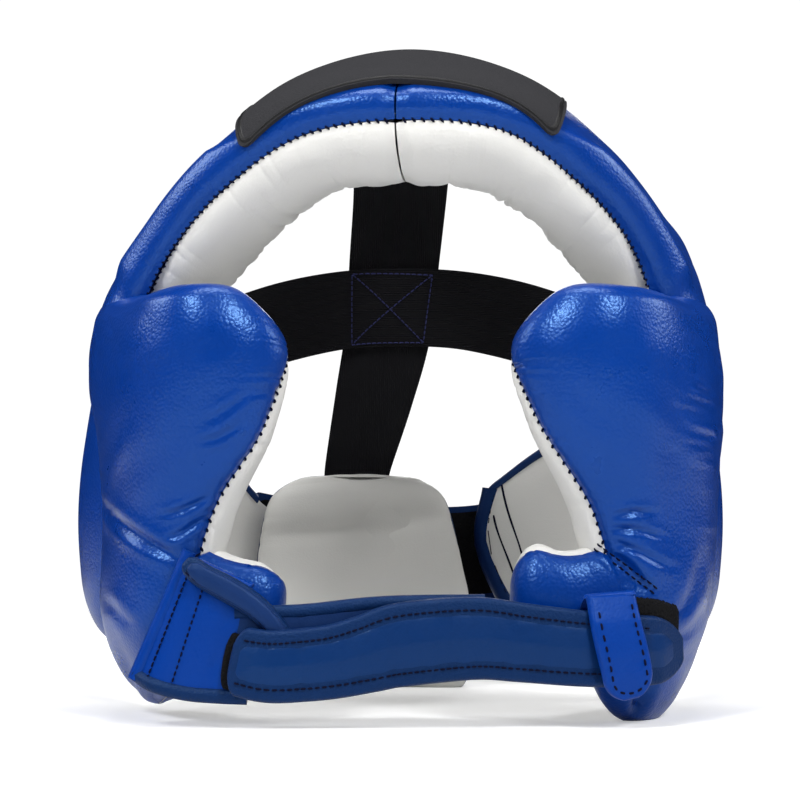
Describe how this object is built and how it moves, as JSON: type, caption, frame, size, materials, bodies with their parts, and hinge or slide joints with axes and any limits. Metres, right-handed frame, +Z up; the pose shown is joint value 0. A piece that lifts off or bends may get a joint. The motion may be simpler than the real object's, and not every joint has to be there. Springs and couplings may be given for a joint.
{
  "type": "boxing headgear",
  "caption": "Padded boxing headgear with brow, cheek and ear pads, crown webbing, a chin strap and hook-and-pile rear bands. It stands on its cheeks and neck pad.",
  "frame": {"origin": "middle of the underside of the box round the headgear, on the surface it stands on", "axes": "+Z up, towards the crown; -Y the way the wearer faces; +X to the wearer's left"},
  "size_m": [0.2534, 0.2524, 0.2382],
  "materials": {
    "blue_leather": "glossy pebbled leather",
    "navy_leather": "satin leather",
    "lining_leather": "soft off-white lining leather",
    "patch_leather": "satin charcoal leather",
    "black_binding": "black edge binding",
    "webbing": "ribbed woven elastic",
    "pile": "matt hook-and-pile tape",
    "foam": "matt foam"
  },
  "bodies": {
    "headgear": {"anchor_binding": "navy_leather", "anchor_panel": "blue_leather", "anchor_pile": "pile", "band_anchor": "navy_leather", "brow_foam": "foam", "brow_lining_left": "lining_leather", "brow_lining_right": "lining_leather", "brow_shell_left": "blue_leather", "brow_shell_right": "blue_leather", "cheek_foam_left": "foam", "cheek_foam_right": "foam", "cheek_lining_left": "lining_leather", "cheek_lining_right": "lining_leather", "cheek_pile": "pile", "cheek_shell_left": "blue_leather", "cheek_shell_right": "blue_leather", "chin_strap_end": "navy_leather", "crown_webbing": "webbing", "ear_foam_left": "foam", "ear_foam_right": "foam", "ear_lining_left": "lining_leather", "ear_lining_right": "lining_leather", "ear_shell_left": "blue_leather", "ear_shell_right": "blue_leather", "jaw_foam_left": "foam", "jaw_foam_right": "foam", "jaw_lining_left": "lining_leather", "jaw_lining_right": "lining_leather", "jaw_shell_left": "blue_leather", "jaw_shell_right": "blue_leather", "keeper_base": "blue_leather", "neck_foam": "foam", "neck_lining": "lining_leather", "neck_shell": "navy_leather", "patch": "patch_leather", "patch_binding": "black_binding", "side_webbing": "webbing", "under_strap": "navy_leather", "wing_binding_left": "navy_leather", "wing_binding_right": "navy_leather", "wing_foam_left": "foam", "wing_foam_right": "foam", "wing_lining_left": "lining_leather", "wing_lining_right": "lining_leather", "wing_shell_left": "blue_leather", "wing_shell_right": "blue_leather"},
    "chin_strap": {"chin_strap": "navy_leather", "chin_strap_hook": "pile"},
    "keeper_tab": {"keeper_tab": "blue_leather"},
    "rear_band_left": {"rear_band_left": "navy_leather", "rear_band_pile_left": "pile"},
    "rear_band_right": {"rear_band_right": "navy_leather", "rear_band_pile_right": "pile"}
  },
  "joints": [
    {"name": "chin_strap_peel", "type": "hinge", "parent": "headgear", "child": "chin_strap", "pos_m": [0.0505, -0.1249, 0.0245], "axis": [0, 0, 1], "range_deg": [0, 75]},
    {"name": "keeper_tab_flip", "type": "hinge", "parent": "headgear", "child": "keeper_tab", "pos_m": [0.0645, -0.1235, 0.04], "axis": [-0.9578, -0.2873, 0], "range_deg": [0, 100]},
    {"name": "rear_band_left_peel", "type": "hinge", "parent": "headgear", "child": "rear_band_left", "pos_m": [0.003, 0.1252, 0.059], "axis": [0, 0, 1], "range_deg": [0, 60]},
    {"name": "rear_band_right_peel", "type": "hinge", "parent": "headgear", "child": "rear_band_right", "pos_m": [-0.003, 0.1252, 0.059], "axis": [0, 0, -1], "range_deg": [0, 60]}
  ]
}
